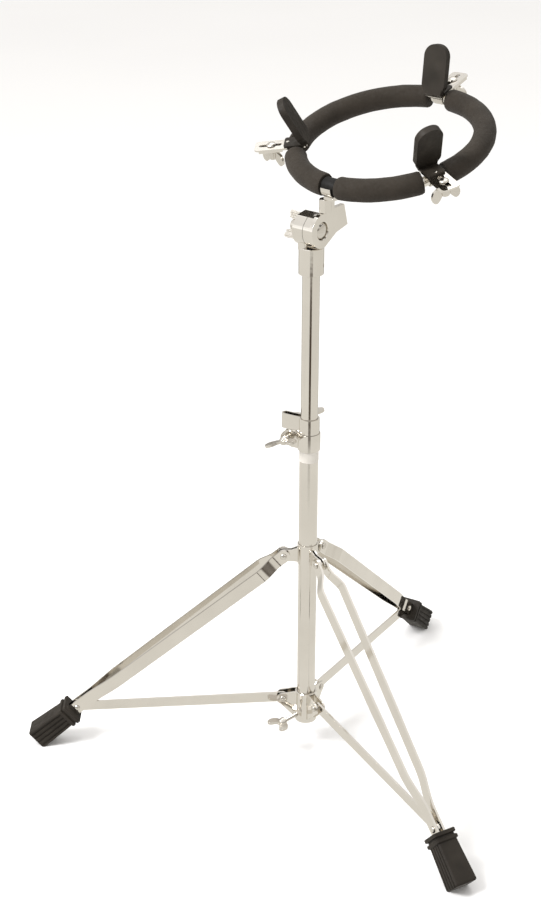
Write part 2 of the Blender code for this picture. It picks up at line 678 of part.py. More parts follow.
def build_claw(name, angle):
    """One claw: bracket, rubber cover, clip, bolt and wing nut."""
    frame = hoop_frame(angle)
    low, high = CLAW_FOOT_N
    blade = paddle_frame()
    bracket = piece("claw_bracket_" + name, claw_bracket(), frame, CHROME)
    join(bracket, moved(slab(paddle_outline(12.0, 15.5, PADDLE_LENGTH), 2.0), blade))

    skin = moved(slab(paddle_outline(13.0, 17.2, PADDLE_LENGTH + 2.0, -3.0), 7.0), blade)
    cover = piece("claw_cover_" + name, skin, frame, RUBBER)
    join(cover, block((CLAW_BEND + 1.0, 135.0), (-12.0, 12.0), (high + GAP, high + 2.6)))
    pocket = slab(paddle_outline(12.3, 15.8, PADDLE_LENGTH + GAP, 8.0), 2.6)
    cut(cover, moved(pocket, blade))
    cut(cover, block((80.0, 190.0), (-20.0, 20.0), (low - 12.0, high + GAP)))

    clip = piece("claw_clip_" + name, claw_clip_mesh(), frame, STEEL)
    cut(clip, rod(2.9, -5.0, 20.0, 12), frame @ shift(CLAW_BOLT_RHO, 0.0, 0.0))

    bolt_frame = frame @ shift(CLAW_BOLT_RHO, 0.0, 0.0)
    profile = [(0.0, -6.0), (2.5, -6.0), (2.5, high + GAP), (6.2, high + GAP), (5.0, high + 2.4),
               (2.6, high + 3.4), (0.0, high + 3.6)]
    piece("claw_bolt_" + name, turned(profile, 12), bolt_frame, STEEL)
    nut_frame = bolt_frame @ shift(0.0, 0.0, 4.7) @ turn(180.0, "X") @ turn(CLAW_NUT_TURNS[name], "Z")
    wing_nut("claw_wing_nut_" + name, nut_frame, 2.9, 11.0, 19.0, 19.0)


def build_all():
    build_lower_tube()
    build_leg_collar()
    build_legs()
    build_hub()
    build_braces()
    build_height_clamp()
    build_memory_lock()
    build_upper_tube()
    build_tilter_base()
    build_tilter_arm()
    build_saddle()
    build_hoop()
    for name, angle in CLAW_ANGLES.items():
        build_claw(name, angle)


build_all()
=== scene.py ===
"""Looks of a double-braced tripod stand for a hand drum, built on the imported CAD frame.

Lengths below are millimetres; MM turns them into metres when a mesh is made. Z is up, the floor is z = 0.
"""
import json
import math

import bmesh
import bpy
from mathutils import Matrix, Vector, noise


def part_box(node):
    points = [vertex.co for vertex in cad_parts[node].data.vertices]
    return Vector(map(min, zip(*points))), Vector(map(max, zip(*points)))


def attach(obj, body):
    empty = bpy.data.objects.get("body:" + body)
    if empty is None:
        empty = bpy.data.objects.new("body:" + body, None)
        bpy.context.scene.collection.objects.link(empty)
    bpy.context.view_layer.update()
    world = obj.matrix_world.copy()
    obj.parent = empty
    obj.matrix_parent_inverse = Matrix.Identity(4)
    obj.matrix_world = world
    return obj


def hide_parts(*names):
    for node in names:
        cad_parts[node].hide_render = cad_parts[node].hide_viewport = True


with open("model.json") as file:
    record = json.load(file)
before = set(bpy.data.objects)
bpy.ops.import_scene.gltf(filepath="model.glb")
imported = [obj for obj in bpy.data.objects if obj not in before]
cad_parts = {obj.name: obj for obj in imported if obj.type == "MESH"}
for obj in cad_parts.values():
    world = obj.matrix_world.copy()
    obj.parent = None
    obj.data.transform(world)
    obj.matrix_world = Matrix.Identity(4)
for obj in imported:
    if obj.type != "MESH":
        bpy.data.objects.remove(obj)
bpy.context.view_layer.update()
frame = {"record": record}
BODY_OF = {node: body for body, nodes in frame["record"]["behaviour"]["bodies"].items() for node in nodes}
SLOT_OF = {row["node"]: row["material_slot"] for row in frame["record"]["subparts"]}

MM = 0.001
WELD = 2e-6
GAP = 0.3
SHARP = 38.0

# Mast and base
TUBE_SIDES = 96
TUBE_EDGE = 0.3
LOWER_TUBE_R = 12.7
LOWER_TUBE_BORE = 11.7
LOWER_TUBE_Z = (44.0, 470.0)
UPPER_TUBE_R = 11.4
UPPER_TUBE_BORE = 10.4
UPPER_TUBE_Z = (285.0, 744.0)
NAME_BAND_Z = (447.5, 463.0)
CLAMP_R = 15.0
CLAMP_Z = (463.6, 488.0)
CLAMP_HEADING = 155.0
CLAMP_BOLT_R = 30.0
LOCK_R = 13.8
LOCK_Z = (488.3, 509.0)
LOCK_HEADING = 150.0
LOCK_SCREW_HEADING = 95.0
LUG_REACH = 41.0

# Legs, each in its own upright plane: distance from the mast axis, then height
LEG_HEADINGS = {"a": 180.0, "b": 60.0, "c": 300.0}
COLLAR_Z = (293.0, 323.0)
COLLAR_PIVOT = (33.0, 304.6)
LEG_SLOPE = 39.97
LEG_LENGTH = 381.8
STRAP_WIDTH = 18.0
STRAP_THICK = 3.0
STRAP_END = 414.0
STRAP_SPREAD = ((-10.0, 5.7), (12.0, 5.7), (40.0, 17.0), (305.0, 12.0), (355.0, 4.5), (420.0, 4.5))
HUB_Z = (41.0, 89.0)
HUB_R = 15.2
HUB_PIVOT = (32.8, 76.3)
HUB_BOLT_HEADING = 225.0
HUB_BOLT_Z = 55.0
BRACE_SLOPE = 3.3
BRACE_REACH = 293.3
BRACE_WIDTH = 15.0
BRACE_THICK = 3.0
RIVET_R = 2.0
RIVET_HOLE = 2.35
FOOT_END = 460.0

# Tilter: q runs along its axis (out to the right), p out towards the hoop, both level
TILT_Z = 768.0
TILT_HEADING = -38.0
DRUM_R = 21.5
SLEEVE_R = 16.3
SLEEVE_Z = (709.0, 744.8)

# Hoop: its centre in (q, p, z), the rod circle, and the slope of its plane up and away from the mast
HOOP_CENTRE = (29.4, 124.5, 858.7)
HOOP_R = 121.2
HOOP_SLOPE = 16.2
CORE_R = 6.35
FOAM_R = 14.7
CLAW_ANGLES = {"back": 90.0, "left": 210.0, "right": 330.0}
FOAM_SPANS = {"back_left": (97.5, 202.5), "front_left": (217.5, 262.5),
              "front_right": (272.5, 322.5), "back_right": (337.5, 442.5)}
SADDLE_ANGLE = 267.5

# Claws: distance from the hoop's centre, then height above its plane
CLAW_FOOT_N = (8.5, 10.5)
CLAW_BEND = 105.0
CLAW_TIP = 174.0
CLAW_SLOT = (138.5, 168.5)
CLAW_BOLT_RHO = 152.5
CLAW_LEAN = 21.9
CLAW_NUT_TURNS = {"back": 90.0, "left": 40.0, "right": 90.0}
PADDLE_LENGTH = 66.0


# ---------------------------------------------------------------- small geometry helpers

def arc(centre, radius, start, end, steps):
    """Points on an arc, angles in degrees, both ends included."""
    points = []
    for i in range(steps + 1):
        angle = math.radians(start + (end - start) * i / steps)
        points.append((centre[0] + radius * math.cos(angle), centre[1] + radius * math.sin(angle)))
    return points


def circle(centre, radius, sides):
    """Points around a whole circle."""
    return arc(centre, radius, 0.0, 360.0 - 360.0 / sides, sides - 1)


def flowing(points, steps=5):
    """A smooth closed outline through the points (Catmull-Rom)."""
    count = len(points)
    smooth = []
    for i in range(count):
        p0, p1, p2, p3 = (Vector(points[(i + k) % count]) for k in (-1, 0, 1, 2))
        for s in range(steps):
            t = s / steps
            smooth.append(tuple(0.5 * (2 * p1 + (p2 - p0) * t + (2 * p0 - 5 * p1 + 4 * p2 - p3) * t * t
                                       + (3 * p1 - p0 - 3 * p2 + p3) * t ** 3)))
    return smooth


def rounded(points, radius, steps=4):
    """A polygon with its corners rounded off."""
    count = len(points)
    smooth = []
    for i in range(count):
        before, corner, after = (Vector(points[(i + k) % count]) for k in (-1, 0, 1))
        inward = (before - corner)
        outward = (after - corner)
        reach = min(radius, 0.45 * inward.length, 0.45 * outward.length)
        start = corner + inward.normalized() * reach
        end = corner + outward.normalized() * reach
        for s in range(steps + 1):
            t = s / steps
            smooth.append(tuple((1 - t) ** 2 * start + 2 * t * (1 - t) * corner + t * t * end))
    return smooth


def shift(x, y, z):
    """Translation in millimetres."""
    return Matrix.Translation(Vector((x, y, z)) * MM)


def turn(degrees, axis):
    """Rotation in degrees about X, Y or Z."""
    return Matrix.Rotation(math.radians(degrees), 4, axis)


UPRIGHT = turn(90.0, "X")
ALONG_Q = turn(90.0, "Y")
TO_PLATE = Matrix(((0, 0, 1, 0), (1, 0, 0, 0), (0, 1, 0, 0), (0, 0, 0, 1)))
MAST = Matrix.Translation(((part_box("lower_tube")[0].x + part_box("lower_tube")[1].x) / 2, 0.0, 0.0))


def mast_frame(heading, z=0.0):
    """X points away from the mast at the given heading, Z up."""
    return MAST @ turn(heading, "Z") @ shift(0.0, 0.0, z)


def tilter_frame():
    """X along the tilter's axis (q), Y out towards the hoop (p), origin where the axis meets the mast."""
    return mast_frame(TILT_HEADING, TILT_Z)


def hoop_frame(angle=0.0):
    """Origin at the hoop's centre, X out through the given angle of the hoop, Z square to its plane."""
    q, p, z = HOOP_CENTRE
    plane = shift(q, p, z - TILT_Z) @ turn(HOOP_SLOPE, "X")
    return tilter_frame() @ plane @ turn(angle, "Z")


def leg_frame(heading):
    """Origin on the collar rivet, X down the leg, Y across it."""
    r, z = COLLAR_PIVOT
    return mast_frame(heading) @ shift(r, 0.0, z) @ turn(LEG_SLOPE, "Y")


# ---------------------------------------------------------------- mesh makers, all returning a bmesh

def turned(profile, sides=TUBE_SIDES):
    """Solid of revolution about Z; the (radius, z) profile is a loop, or runs from axis to axis."""
    bm = bmesh.new()
    verts = [bm.verts.new((r * MM, 0.0, z * MM)) for r, z in profile]
    pairs = list(zip(verts, verts[1:])) + [(verts[-1], verts[0])]
    edges = [bm.edges.new((a, b)) for a, b in pairs if a.co.x > 0.0 or b.co.x > 0.0]
    bmesh.ops.spin(bm, geom=verts + edges, axis=(0, 0, 1), cent=(0, 0, 0), angle=math.tau, steps=sides)
    bmesh.ops.remove_doubles(bm, verts=bm.verts, dist=WELD)
    return bm


def soft_profile(outer, bore, low, high, edge):
    """Cross-section of a tube whose four edges are rounded."""
    e = edge
    return [(outer, low + e), (outer, high - e), (outer - 0.3 * e, high - 0.3 * e), (outer - e, high),
            (bore + e, high), (bore + 0.3 * e, high - 0.3 * e), (bore, high - e), (bore, low + e),
            (bore + 0.3 * e, low + 0.3 * e), (bore + e, low), (outer - e, low),
            (outer - 0.3 * e, low + 0.3 * e)]


def rod(radius, z_low, z_high, sides=48):
    """Cylinder about Z."""
    return turned([(0.0, z_low), (radius, z_low), (radius, z_high), (0.0, z_high)], sides)


def slab(outline, thickness, holes=()):
    """Flat plate in XY with through holes, centred on z = 0."""
    curve = bpy.data.curves.new("outline", "CURVE")
    curve.dimensions = "2D"
    curve.fill_mode = "BOTH"
    curve.extrude = thickness * MM / 2
    for loop in (outline, *holes):
        spline = curve.splines.new("POLY")
        spline.points.add(len(loop) - 1)
        for point, (x, y) in zip(spline.points, loop):
            point.co = (x * MM, y * MM, 0.0, 1.0)
        spline.use_cyclic_u = True
    holder = bpy.data.objects.new("outline", curve)
    mesh = bpy.data.meshes.new_from_object(holder)
    bm = bmesh.new()
    bm.from_mesh(mesh)
    bpy.data.objects.remove(holder)
    bpy.data.curves.remove(curve)
    bpy.data.meshes.remove(mesh)
    bmesh.ops.remove_doubles(bm, verts=bm.verts, dist=WELD)
    bmesh.ops.dissolve_limit(bm, angle_limit=math.radians(1.0), verts=bm.verts, edges=bm.edges)
    return bm


def block(x_span, y_span, z_span):
    """Rectangular block, only used to join to or cut from another body."""
    bm = bmesh.new()
    size = [high - low for low, high in (x_span, y_span, z_span)]
    middle = [(high + low) / 2 for low, high in (x_span, y_span, z_span)]
    matrix = shift(*middle) @ Matrix.Diagonal((*(Vector(size) * MM), 1.0))
    bmesh.ops.create_cube(bm, size=1.0, matrix=matrix)
    return bm


def skinned(rings, loop=False):
    """Surface through a row of rings of (x, y, z) points, joined into a loop or capped at both ends."""
    bm = bmesh.new()
    made = [[bm.verts.new(Vector(point) * MM) for point in ring] for ring in rings]
    pairs = list(zip(made, made[1:])) + ([(made[-1], made[0])] if loop else [])
    for first, second in pairs:
        count = len(first)
        for i in range(count):
            bm.faces.new((first[i], first[(i + 1) % count], second[(i + 1) % count], second[i]))
    if not loop:
        bm.faces.new(made[0])
        bm.faces.new(made[-1])
    return bm


def hoop_ring(angle, radius, sides, wobble=0.0):
    """Circle of points around the hoop's rod at an angle round the hoop, in the hoop's frame."""
    way = Vector((math.cos(math.radians(angle)), math.sin(math.radians(angle)), 0.0))
    ring = []
    for i in range(sides):
        around = math.tau * i / sides
        reach = radius
        if wobble:
            spot = way * 9.0 + Vector((math.cos(around), math.sin(around), angle * 0.02)) * 1.6
            reach += wobble * noise.noise(spot)
        point = way * (HOOP_R + reach * math.cos(around)) + Vector((0.0, 0.0, reach * math.sin(around)))
        ring.append(point)
    return ring


def moved(bm, matrix):
    """The same bmesh, moved."""
    bmesh.ops.transform(bm, matrix=matrix, verts=bm.verts)
    return bm


# ---------------------------------------------------------------- materials

def node_material(name):
    """Empty material: its nodes, its links and its shader."""
    made = bpy.data.materials.new(name)
    made.use_nodes = True
    tree = made.node_tree
    return made, tree, tree.nodes["Principled BSDF"]


def add_noise(tree, scale, detail=4.0, stretch=(1.0, 1.0, 1.0)):
    """Noise in object space, optionally stretched along an axis."""
    coords = tree.nodes.new("ShaderNodeTexCoord")
    mapping = tree.nodes.new("ShaderNodeMapping")
    mapping.inputs["Scale"].default_value = stretch
    texture = tree.nodes.new("ShaderNodeTexNoise")
    texture.inputs["Scale"].default_value = scale
    texture.inputs["Detail"].default_value = detail
    tree.links.new(coords.outputs["Object"], mapping.inputs["Vector"])
    tree.links.new(mapping.outputs["Vector"], texture.inputs["Vector"])
    return texture.outputs["Fac"]


def add_range(tree, source, low, high, start=0.3, end=0.7):
    """The source mapped from start..end onto low..high."""
    node = tree.nodes.new("ShaderNodeMapRange")
    node.inputs["From Min"].default_value = start
    node.inputs["From Max"].default_value = end
    node.inputs["To Min"].default_value = low
    node.inputs["To Max"].default_value = high
    tree.links.new(source, node.inputs["Value"])
    return node.outputs["Result"]


def add_colours(tree, source, first, second):
    """Colour between two, by the source."""
    node = tree.nodes.new("ShaderNodeMix")
    node.data_type = "RGBA"
    node.inputs["A"].default_value = (*first, 1.0)
    node.inputs["B"].default_value = (*second, 1.0)
    tree.links.new(source, node.inputs["Factor"])
    return node.outputs["Result"]


def add_bump(tree, source, distance, shader, strength=1.0):
    """Bump the shader's normal by the source; the distance is in metres."""
    bump = tree.nodes.new("ShaderNodeBump")
    bump.inputs["Strength"].default_value = strength
    bump.inputs["Distance"].default_value = distance
    tree.links.new(source, bump.inputs["Height"])
    tree.links.new(bump.outputs["Normal"], shader.inputs["Normal"])


def metal_material(name, light, dark, smooth, rough, ripple):
    """Plated metal: slow tone changes, smudges in the gloss and a very shallow ripple."""
    made, tree, shader = node_material(name)
    shader.inputs["Metallic"].default_value = 1.0
    tone = add_range(tree, add_noise(tree, 14.0, 3.0), 0.0, 1.0)
    tree.links.new(add_colours(tree, tone, light, dark), shader.inputs["Base Color"])
    smudge = add_noise(tree, 55.0, 6.0, (1.0, 1.0, 0.25))
    tree.links.new(add_range(tree, smudge, smooth, rough), shader.inputs["Roughness"])
    add_bump(tree, add_noise(tree, 120.0, 2.0), ripple, shader, 0.35)
    return made


def rubber_material(name, clean, dusty):
    """Moulded rubber: near-black brown, dusty patches and a fine grain."""
    made, tree, shader = node_material(name)
    dust = add_range(tree, add_noise(tree, 40.0, 6.0), 0.0, 1.0, 0.35, 0.75)
    tree.links.new(add_colours(tree, dust, clean, dusty), shader.inputs["Base Color"])
    tree.links.new(add_range(tree, add_noise(tree, 160.0, 4.0), 0.45, 0.72), shader.inputs["Roughness"])
    shader.inputs["Specular IOR Level"].default_value = 0.22
    add_bump(tree, add_noise(tree, 900.0, 3.0), 0.00025, shader, 0.5)
    return made


def foam_material():
    """Closed-cell foam sleeve: charcoal with a fine pebbled cell texture and a dull sheen."""
    made, tree, shader = node_material("look_foam")
    tone = add_range(tree, add_noise(tree, 30.0, 5.0), 0.0, 1.0)
    tree.links.new(add_colours(tree, tone, (0.022, 0.0175, 0.0130), (0.033, 0.0265, 0.0200)),
                   shader.inputs["Base Color"])
    tree.links.new(add_range(tree, add_noise(tree, 260.0, 3.0), 0.62, 0.85), shader.inputs["Roughness"])
    shader.inputs["Specular IOR Level"].default_value = 0.18
    shader.inputs["Sheen Weight"].default_value = 0.04
    shader.inputs["Sheen Roughness"].default_value = 0.5
    cells = tree.nodes.new("ShaderNodeTexVoronoi")
    cells.inputs["Scale"].default_value = 1300.0
    coords = tree.nodes.new("ShaderNodeTexCoord")
    tree.links.new(coords.outputs["Object"], cells.inputs["Vector"])
    add_bump(tree, cells.outputs["Distance"], 0.00035, shader, 0.55)
    return made


def nylon_material():
    """Moulded black nylon."""
    made, tree, shader = node_material("look_nylon")
    tone = add_range(tree, add_noise(tree, 90.0, 3.0), 0.0, 1.0)
    tree.links.new(add_colours(tree, tone, (0.020, 0.020, 0.021), (0.032, 0.032, 0.034)),
                   shader.inputs["Base Color"])
    tree.links.new(add_range(tree, add_noise(tree, 300.0, 3.0), 0.38, 0.55), shader.inputs["Roughness"])
    add_bump(tree, add_noise(tree, 700.0, 2.0), 0.0001, shader, 0.4)
    return made


def band_material():
    """Blank satin band under the height clamp."""
    made, tree, shader = node_material("look_band")
    shader.inputs["Metallic"].default_value = 0.35
    tone = add_range(tree, add_noise(tree, 60.0, 4.0), 0.0, 1.0)
    tree.links.new(add_colours(tree, tone, (0.74, 0.71, 0.66), (0.68, 0.65, 0.60)),
                   shader.inputs["Base Color"])
    tree.links.new(add_range(tree, add_noise(tree, 200.0, 4.0), 0.28, 0.42), shader.inputs["Roughness"])
    add_bump(tree, add_noise(tree, 400.0, 2.0), 0.00005, shader, 0.4)
    return made


LOOKS = {
    "chrome": metal_material("look_chrome", (0.80, 0.77, 0.72), (0.73, 0.70, 0.65), 0.05, 0.12, 0.00006),
    "plated_steel": metal_material("look_steel", (0.74, 0.71, 0.66), (0.64, 0.61, 0.56), 0.14, 0.26, 0.00010),
    "rubber": rubber_material("look_rubber", (0.016, 0.0128, 0.0095), (0.031, 0.0255, 0.0195)),
    # The liner's near-black is partly its own black lining and partly painted shade, standing for the shadow
    # in the gap between the foam ends over the saddle.
    "liner": rubber_material("look_liner_painted_shade", (0.003, 0.0025, 0.002), (0.006, 0.005, 0.004)),
    "foam": foam_material(),
    "nylon": nylon_material(),
    "band": band_material(),
}


# ---------------------------------------------------------------- pieces

def placed_object(name, bm, place):
    """Object whose mesh is already in world metres, its own origin at the world's."""
    bmesh.ops.transform(bm, matrix=place, verts=bm.verts)
    bmesh.ops.recalc_face_normals(bm, faces=bm.faces)
    mesh = bpy.data.meshes.new(name)
    bm.to_mesh(mesh)
    bm.free()
    obj = bpy.data.objects.new(name, mesh)
    bpy.context.scene.collection.objects.link(obj)
    return obj


def piece(name, bm, place, body, look, joins=(), cuts=(), edge=0.0, segments=2):
    """One finished piece: bodies joined and cut, its edges rounded, then riding on its CAD body.

    joins and cuts hold bmeshes in the piece's own place, or pairs of a bmesh and its place.
    """
    obj = placed_object(name, bm, place)
    tools = []
    for operation, bodies in (("UNION", joins), ("DIFFERENCE", cuts)):
        for item in bodies:
            tool_bm, tool_place = item if isinstance(item, tuple) else (item, place)
            tool = placed_object("tool", tool_bm, tool_place)
            step = obj.modifiers.new(operation, "BOOLEAN")
            step.operation = operation
            step.object = tool
            step.solver = "EXACT"
            tools.append(tool)
    if tools:
        bake(obj)
        tidy_flats(obj)
    if edge:
        rounding = obj.modifiers.new("edges", "BEVEL")
        rounding.width = edge * MM
        rounding.segments = segments
        rounding.limit_method = "ANGLE"
        rounding.angle_limit = math.radians(SHARP)
        bake(obj)
    for tool in tools:
        bpy.data.objects.remove(tool)
    obj.data.shade_smooth()
    obj.data.set_sharp_from_angle(angle=math.radians(SHARP))
    weighting = obj.modifiers.new("normals", "WEIGHTED_NORMAL")
    weighting.keep_sharp = True
    bake(obj)
    obj.data.materials.clear()
    obj.data.materials.append(LOOKS[look])
    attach(obj, body)
    return obj


def bake(obj):
    """Turn the piece's modifiers into its mesh."""
    graph = bpy.context.evaluated_depsgraph_get()
    mesh = bpy.data.meshes.new_from_object(obj.evaluated_get(graph))
    obj.modifiers.clear()
    obj.data = mesh


def tidy_flats(obj):
    """Merge the slivers a cut leaves on flat faces, so that edges round off cleanly."""
    bm = bmesh.new()
    bm.from_mesh(obj.data)
    bmesh.ops.remove_doubles(bm, verts=bm.verts, dist=WELD)
    bmesh.ops.dissolve_limit(bm, angle_limit=math.radians(0.6), verts=bm.verts, edges=bm.edges)
    bm.to_mesh(obj.data)
    bm.free()


def stand_in(node, bm, place, joins=(), cuts=(), edge=0.4, segments=2, look=None):
    """A piece that is shown instead of the CAD node it is named after."""
    look = look or SLOT_OF[node]
    obj = piece(node + "_look", bm, place, BODY_OF[node], look, joins, cuts, edge, segments)
    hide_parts(node)
    return obj


# ---------------------------------------------------------------- fasteners

def wing_outline(half_width, height, base, root=0.0):
    """Two rounded lobes rising from z = base; with a root, only the right-hand lobe, from x = root out."""
    if root > 0.0:
        lobe = [(0.30, 0.0), (0.58, 0.04), (0.86, 0.22), (1.0, 0.55), (0.93, 0.88), (0.70, 1.0), (0.48, 0.86),
                (0.30, 0.62)]
        points = [(root, base - 0.5)] + [(x * half_width, base + z * height) for x, z in lobe]
        return flowing(points + [(root, base + 0.52 * height)], 4)
    lobe = [(0.20, 0.0), (0.56, 0.06), (0.88, 0.26), (1.0, 0.58), (0.92, 0.90), (0.70, 1.0), (0.46, 0.86),
            (0.22, 0.52)]
    right = [(x * half_width, base + z * height) for x, z in lobe]
    return flowing(right + [(-x, z) for x, z in reversed(right)], 4)


def wing_plate(outline, thickness):
    """The lobes as a plate in the XZ plane."""
    return moved(slab(outline, thickness), UPRIGHT)


def thread_profile(radius, low, high, pitch=1.0):
    """Side of a threaded shaft as (radius, z), from low to high."""
    points = []
    z = low + 0.4
    while z + pitch < high:
        points += [(radius - 0.42, z), (radius, z + 0.35 * pitch), (radius, z + 0.55 * pitch)]
        z += pitch
    return [(0.0, low), (radius - 0.5, low)] + points + [(radius, high)]


def wing_bolt(node, place, radius, tip, boss, half_width, height, hole=False):
    """Threaded bolt along Z from z = tip up to its boss, which starts at z = boss and carries the wings."""
    profile = thread_profile(radius, tip, boss - 0.2)
    profile += [(radius + 3.0, boss), (radius + 3.3, boss + 0.6), (radius + 3.1, boss + 3.5),
                (radius + 2.2, boss + 6.5), (radius + 0.6, boss + 8.8), (0.0, boss + 9.5)]
    wings = wing_plate(wing_outline(half_width, height, boss + 1.8), 3.4)
    eye = (0.66 * half_width, 0.0, boss + 0.58 * height)
    cuts = [moved(rod(1.9, -5.0, 5.0, 24), shift(*eye) @ UPRIGHT)] if hole else []
    return stand_in(node, turned(profile, 40), place, joins=[wings], cuts=cuts, edge=0.8, segments=3)


def wing_nut(node, place, bore, depth, half_width, height, thick=3.6, ribs=()):
    """Cap nut along Z from z = 0, with a blind bore and two wings.

    ribs holds distances out from the axis: with any, the wings are full plates ribbed along the axis.
    """
    top = depth + 3.0
    profile = [(bore, 0.0), (bore + 3.8, 0.0), (bore + 4.2, 0.5), (bore + 4.0, 4.0), (bore + 3.2, top - 3.0),
               (bore + 1.8, top - 0.8), (0.0, top), (0.0, depth), (bore, depth)]
    lobe = wing_outline(half_width, height, 1.2, bore + 1.2)
    if ribs:
        corners = [(bore + 1.2, 0.7), (half_width - 3.0, 1.6), (half_width, 6.0), (half_width + 1.0, height),
                   (half_width - 3.0, height + 1.5), (bore + 1.2, height - 5.0)]
        lobe = rounded(corners, 3.0, 4)
    joins = []
    for side in (0.0, 180.0):
        joins.append(moved(wing_plate(lobe, thick), turn(side, "Z")))
        for x in ribs:
            for face in (-thick / 2, thick / 2):
                rib = rod(1.2, 2.6, height - 1.0, 16)
                joins.append(moved(rib, turn(side, "Z") @ shift(x, face, 0.0)))
    return stand_in(node, turned(profile, 40), place, joins=joins, edge=0.7, segments=2)


def rivet_profile(inner_face, spacer=None):
    """Half of a rivet's side as (radius, z), from the middle out to its domed head."""
    dome = [(4.4, inner_face), (4.45, inner_face + 0.4), (4.1, inner_face + 1.0), (3.3, inner_face + 1.6),
            (1.8, inner_face + 2.05), (0.0, inner_face + 2.1)]
    half = [(RIVET_R, inner_face)] + dome
    if spacer is not None:
        start, end = spacer
        half = [(RIVET_R, start), (3.6, start), (3.6, end), (RIVET_R, end)] + half
    return half


def rivet(node, place, inner_face, spacer=None):
    """A whole rivet across its joint, the same on both sides of the middle."""
    half = rivet_profile(inner_face, spacer)
    profile = [(r, -z) for r, z in reversed(half)] + half
    stand_in(node, moved(turned(profile, 32), UPRIGHT), place, edge=0.0)


# ---------------------------------------------------------------- tripod

def build_lower_tube():
    """Outer tube of the mast, with a blank band near its top."""
    tube = turned(soft_profile(LOWER_TUBE_R, LOWER_TUBE_BORE, *LOWER_TUBE_Z, TUBE_EDGE))
    stand_in("lower_tube", tube, MAST, edge=0.0)
    band = turned(soft_profile(LOWER_TUBE_R + 0.32, LOWER_TUBE_R + 0.04, *NAME_BAND_Z, 0.08))
    obj = piece("name_band", band, MAST, "stand", "band")


def ear(outline, hole, y_span):
    """Upright plate of a bracket, lying between two distances from the leg's middle plane."""
    plate = slab(outline, y_span[1] - y_span[0], [circle(hole, RIVET_HOLE, 24)])
    return moved(plate, shift(0.0, sum(y_span) / 2, 0.0) @ UPRIGHT)


def build_leg_collar():
    """Fixed ring on the tube with a pair of ears and a rivet for each leg."""
    low, high = COLLAR_Z
    r, z = COLLAR_PIVOT
    outline = [(13.2, z - 9.5), (22.0, z - 8.5)] + arc((r, z), 8.5, -90.0, 90.0, 24)
    outline += [(22.0, z + 8.5), (13.2, z + 12.0)]
    ears = []
    for heading in LEG_HEADINGS.values():
        for y_span in ((1.4, 3.9), (-3.9, -1.4)):
            ears.append((ear(outline, (r, z), y_span), mast_frame(heading)))
    ring = turned([(14.2, low), (14.2, high), (LOWER_TUBE_R + GAP, high), (LOWER_TUBE_R + GAP, low)])
    stand_in("leg_collar", ring, MAST, joins=ears, edge=0.35)
    for name, heading in LEG_HEADINGS.items():
        rivet("collar_rivet_" + name, mast_frame(heading) @ shift(r, 0.0, z), inner_face=7.5)


def spread_at(x):
    """How far a strap's middle stands off the leg's middle plane, easing through each bend."""
    for (x0, y0), (x1, y1) in zip(STRAP_SPREAD, STRAP_SPREAD[1:]):
        if x <= x1:
            t = max(0.0, (x - x0) / (x1 - x0))
            if x1 - x0 < 60.0:
                t = 0.35 * t + 0.65 * t * t * (3 - 2 * t)
            return y0 + (y1 - y0) * t
    return STRAP_SPREAD[-1][1]


def strap(node, place, side):
    """One of a leg's two straps: rounded round its rivet, joggled out, then closing in to the foot."""
    half = STRAP_WIDTH / 2
    outline = arc((0.0, 0.0), half, 90.0, 270.0, 28) + [(STRAP_END, -half), (STRAP_END, half)]
    holes = [circle((0.0, 0.0), RIVET_HOLE, 24), circle((LEG_LENGTH, 0.0), RIVET_HOLE, 24)]
    bm = moved(slab(outline, STRAP_THICK, holes), UPRIGHT)
    cuts = [10.0 + 2.2 * i for i in range(15)] + [60.0 + 30.0 * i for i in range(8)]
    cuts += [300.0 + 5.0 * i for i in range(13)]
    for x in cuts:
        geom = list(bm.verts) + list(bm.edges) + list(bm.faces)
        bmesh.ops.bisect_plane(bm, geom=geom, dist=WELD, plane_co=(x * MM, 0, 0), plane_no=(1, 0, 0))
    for vert in bm.verts:
        vert.co.y += side * spread_at(vert.co.x / MM) * MM
    stand_in(node, bm, place, edge=0.45, segments=2)


def foot_section(x, half, groove):
    """Outline across a rubber foot, with four grooves of the given depth down each side."""
    pitch = 2 * half / 9
    chamfer = 1.6
    flank = [(half, chamfer), (half - chamfer, 0.0)]
    for i in range(4):
        top = half - (2 * i + 1) * pitch
        flank += [(top, 0.0), (top - 0.6, groove), (top - pitch + 0.6, groove), (top - pitch, 0.0)]
    flank += [(chamfer - half, 0.0), (-half, chamfer)]
    right = [(x, half - inset, z) for z, inset in flank]
    left = [(x, inset - half, -z) for z, inset in flank]
    return right + left


def build_foot(name, place):
    """Rubber foot: two flanges, then a slightly flared grooved block, flat where it meets the floor."""
    flanges = [(388.8, 15.4, 0.0), (389.4, 16.2, 0.0), (393.4, 16.2, 0.0), (394.2, 15.4, 0.0),
               (394.6, 13.8, 0.0), (396.8, 13.8, 0.0), (397.2, 15.4, 0.0), (398.0, 16.2, 0.0),
               (401.4, 16.2, 0.0), (402.2, 15.4, 0.0)]
    grooved = [(402.8, 14.2, 0.4), (405.0, 14.2, 1.6), (456.5, 15.9, 1.7), (458.6, 15.7, 1.2),
               (459.6, 14.8, 0.6), (FOOT_END, 13.6, 0.2)]
    body = skinned([foot_section(x, half, groove) for x, half, groove in flanges + grooved])
    pocket = block((380.0, STRAP_END + 0.5), (-6.3, 6.3), (-9.3, 9.3))
    floor = block((-600.0, 600.0), (-600.0, 600.0), (-50.0, 0.0))
    stand_in("rubber_foot_" + name, body, place, cuts=[pocket, (floor, MAST)], edge=0.0)


def build_legs():
    """Each leg: two straps, a rubber foot and the rivet where the brace meets it."""
    for name, heading in LEG_HEADINGS.items():
        place = leg_frame(heading)
        strap("leg_strap_" + name + "_left", place, 1)
        strap("leg_strap_" + name + "_right", place, -1)
        build_foot(name, place)
        rivet("foot_rivet_" + name, place @ shift(LEG_LENGTH, 0.0, 0.0), inner_face=6.3)


